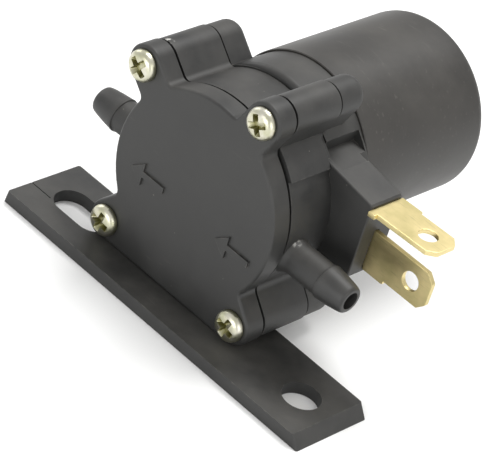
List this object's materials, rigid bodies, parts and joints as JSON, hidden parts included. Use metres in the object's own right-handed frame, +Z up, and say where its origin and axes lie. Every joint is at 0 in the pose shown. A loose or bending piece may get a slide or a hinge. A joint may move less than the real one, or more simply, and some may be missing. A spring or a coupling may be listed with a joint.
{
  "type": "bilge pump",
  "caption": "Small self-priming gear pump with a front cover, side hose spigots, a round motor, blade terminals and a slotted foot bar.",
  "frame": {"origin": "underside of the foot bar, below the pump's centre line, in the plane of the front cover's face", "axes": "+Z up; +X along the foot bar towards the terminals and the inlet; +Y along the shaft from the front cover to the motor"},
  "size_m": [0.0627, 0.0548, 0.0404],
  "materials": {
    "pump_body": "satin black moulded nylon",
    "front_cover": "satin black moulded nylon",
    "cover_screws": "pale zinc plated steel",
    "cover_seal": "black nitrile rubber",
    "drive_gear": "natural acetal",
    "idler_gear": "natural acetal",
    "idler_pin": "ground steel",
    "shaft_seal": "black nitrile rubber",
    "seal_washer": "plain steel",
    "motor_mount": "satin black moulded nylon",
    "motor_can": "black coated steel, satin",
    "motor_shaft": "ground steel",
    "front_bushing": "sintered bronze",
    "rear_bushing": "sintered bronze",
    "front_spacer": "natural nylon",
    "rear_spacer": "natural nylon",
    "armature_core": "stacked electrical steel",
    "windings": "enamelled copper wire",
    "commutator": "turned copper",
    "magnets": "sintered ferrite",
    "brush_card": "brown phenolic",
    "brushes": "carbon",
    "brush_arms": "phosphor bronze strip",
    "terminal_upper": "plated brass strip",
    "terminal_lower": "plated brass strip"
  },
  "bodies": {
    "housing": {"pump_body": "pump_body", "front_cover": "front_cover", "cover_screws": "cover_screws", "cover_seal": "cover_seal", "idler_pin": "idler_pin", "shaft_seal": "shaft_seal", "seal_washer": "seal_washer", "motor_mount": "motor_mount", "motor_can": "motor_can", "front_bushing": "front_bushing", "rear_bushing": "rear_bushing", "magnets": "magnets", "brush_card": "brush_card", "brushes": "brushes", "brush_arms": "brush_arms", "terminal_upper": "terminal_upper", "terminal_lower": "terminal_lower"},
    "rotor": {"drive_gear": "drive_gear", "motor_shaft": "motor_shaft", "front_spacer": "front_spacer", "rear_spacer": "rear_spacer", "armature_core": "armature_core", "windings": "windings", "commutator": "commutator"},
    "idler": {"idler_gear": "idler_gear"}
  },
  "joints": [
    {"name": "rotor_spin", "type": "hinge", "parent": "housing", "child": "rotor", "pos_m": [0, 0, 0.0224], "axis": [0, 1, 0], "continuous": true},
    {"name": "idler_spin", "type": "hinge", "parent": "housing", "child": "idler", "pos_m": [0, 0, 0.0119], "axis": [0, 1, 0], "continuous": true}
  ],
  "couplings": [
    {"joint": "idler_spin", "follows": "rotor_spin", "ratio": -1}
  ]
}
